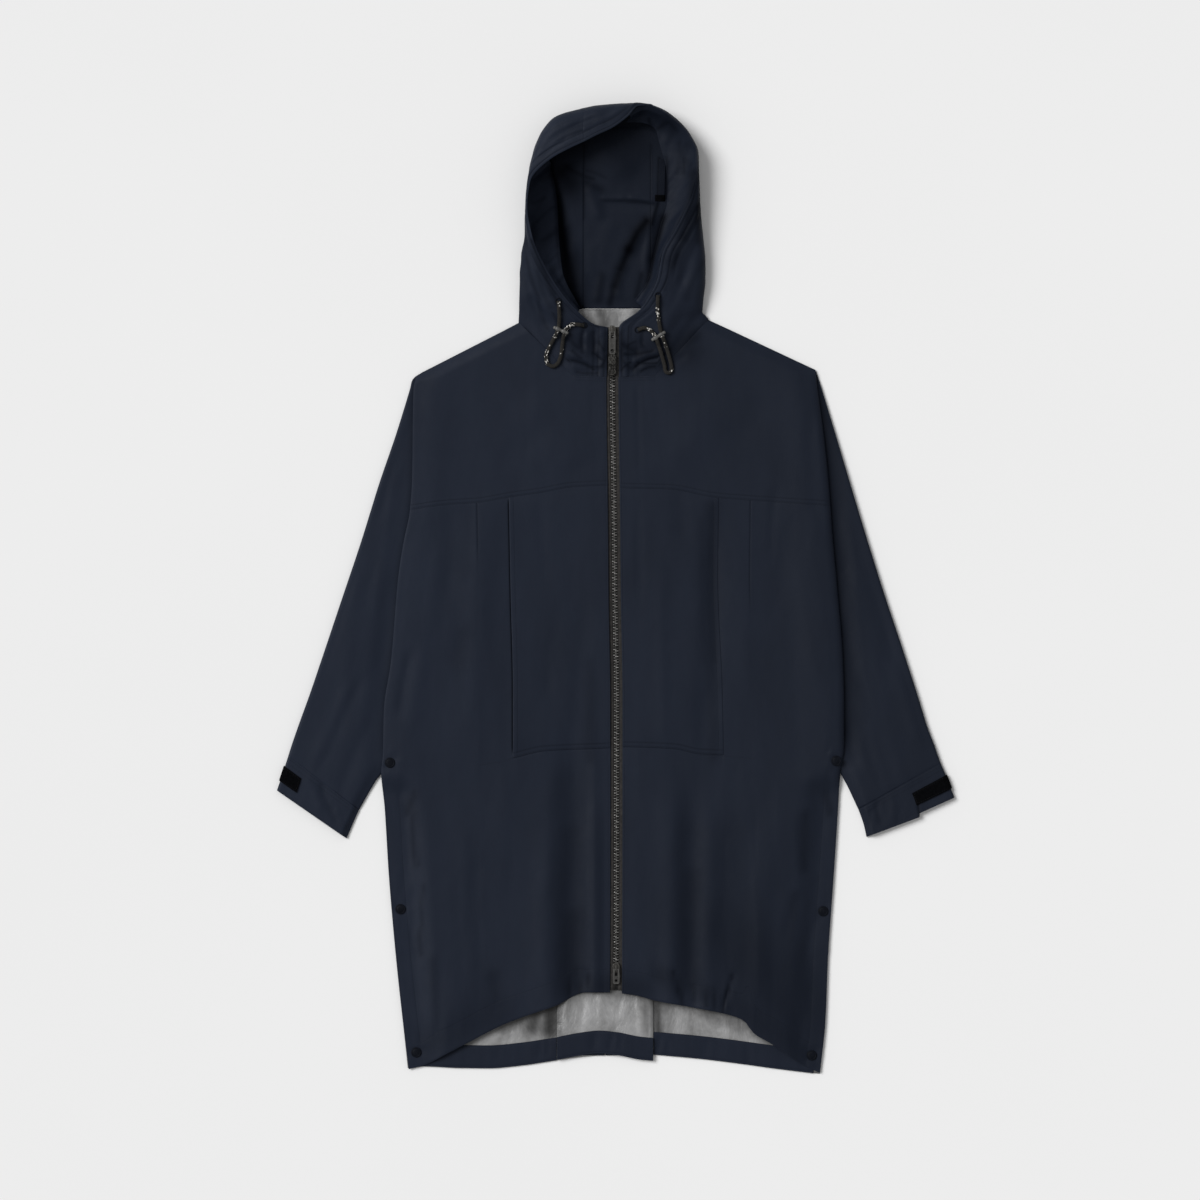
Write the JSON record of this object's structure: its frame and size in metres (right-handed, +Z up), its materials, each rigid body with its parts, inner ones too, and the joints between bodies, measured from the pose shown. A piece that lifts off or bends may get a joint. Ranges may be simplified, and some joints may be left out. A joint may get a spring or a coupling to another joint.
{
  "type": "hooded rain poncho",
  "caption": "Hooded zip rain poncho with snapped side openings, box-pleated back and strapped cuffs, closed and laid flat on its back",
  "frame": {"origin": "middle of the laid garment's box, on the surface that it lies on", "axes": "+Z up from the surface, out of the garment's front; +Y from the hem to the hood; +X to the picture's right, the wearer's left side"},
  "size_m": [0.9146, 1.3087, 0.0456],
  "materials": {
    "navy_cloth": "coated woven shell, navy, soft sheen",
    "silver_cloth": "metallic-coated inner face of the shell, wrinkled satin",
    "navy_band": "hem facing and cord casing, navy",
    "zip_tape": "woven zip tape, dark brown-grey",
    "zip_metal": "dark antique bronze, worn on the edges",
    "snap_black": "black snap caps and eyelet rings",
    "hook_loop": "black hook-and-loop tab",
    "cord_textile": "black-brown braid with pale flecks",
    "lock_grey": "grey bar cord lock",
    "grip_black": "soft grip on the upper pull tab"
  },
  "bodies": {
    "garment": {"back_left": "silver_cloth", "back_pleat": "silver_cloth", "back_right": "silver_cloth", "back_yoke": "silver_cloth", "cord_left": "cord_textile", "cord_lock_left": "lock_grey", "cord_lock_right": "lock_grey", "cord_right": "cord_textile", "cuff_left": "navy_cloth", "cuff_right": "navy_cloth", "cuff_tab_left": "hook_loop", "cuff_tab_right": "hook_loop", "eyelet_left_lower": "snap_black", "eyelet_left_upper": "snap_black", "eyelet_right_lower": "snap_black", "eyelet_right_upper": "snap_black", "front_left": "navy_cloth", "front_right": "navy_cloth", "hem_facing_left": "navy_band", "hem_facing_pleat": "navy_band", "hem_facing_right": "navy_band", "hood_casing_left": "navy_band", "hood_casing_right": "navy_band", "hood_left": "navy_cloth", "hood_middle": "navy_cloth", "hood_right": "navy_cloth", "pocket_left": "navy_cloth", "pocket_right": "navy_cloth", "sleeve_left": "navy_cloth", "sleeve_right": "navy_cloth", "snap_left_1": "snap_black", "snap_left_2": "snap_black", "snap_left_3": "snap_black", "snap_right_1": "snap_black", "snap_right_2": "snap_black", "snap_right_3": "snap_black", "yoke_left": "navy_cloth", "yoke_right": "navy_cloth", "zip_chain": "zip_metal", "zip_slider_bottom": "zip_metal", "zip_slider_top": "zip_metal", "zip_tape_left": "zip_tape", "zip_tape_right": "zip_tape"},
    "top_pull": {"zip_pull_top": "zip_metal", "zip_grip_top": "grip_black"},
    "bottom_pull": {"zip_pull_bottom": "zip_metal"}
  },
  "joints": [
    {"name": "top_pull_swing", "type": "hinge", "parent": "garment", "child": "top_pull", "pos_m": [-0.00438, 0.3471, 0.0144], "axis": [-1, 0, 0], "range_deg": [0, 150]},
    {"name": "bottom_pull_swing", "type": "hinge", "parent": "garment", "child": "bottom_pull", "pos_m": [0.00077, -0.5124, 0.0132], "axis": [-1, 0, 0], "range_deg": [0, 150]}
  ]
}
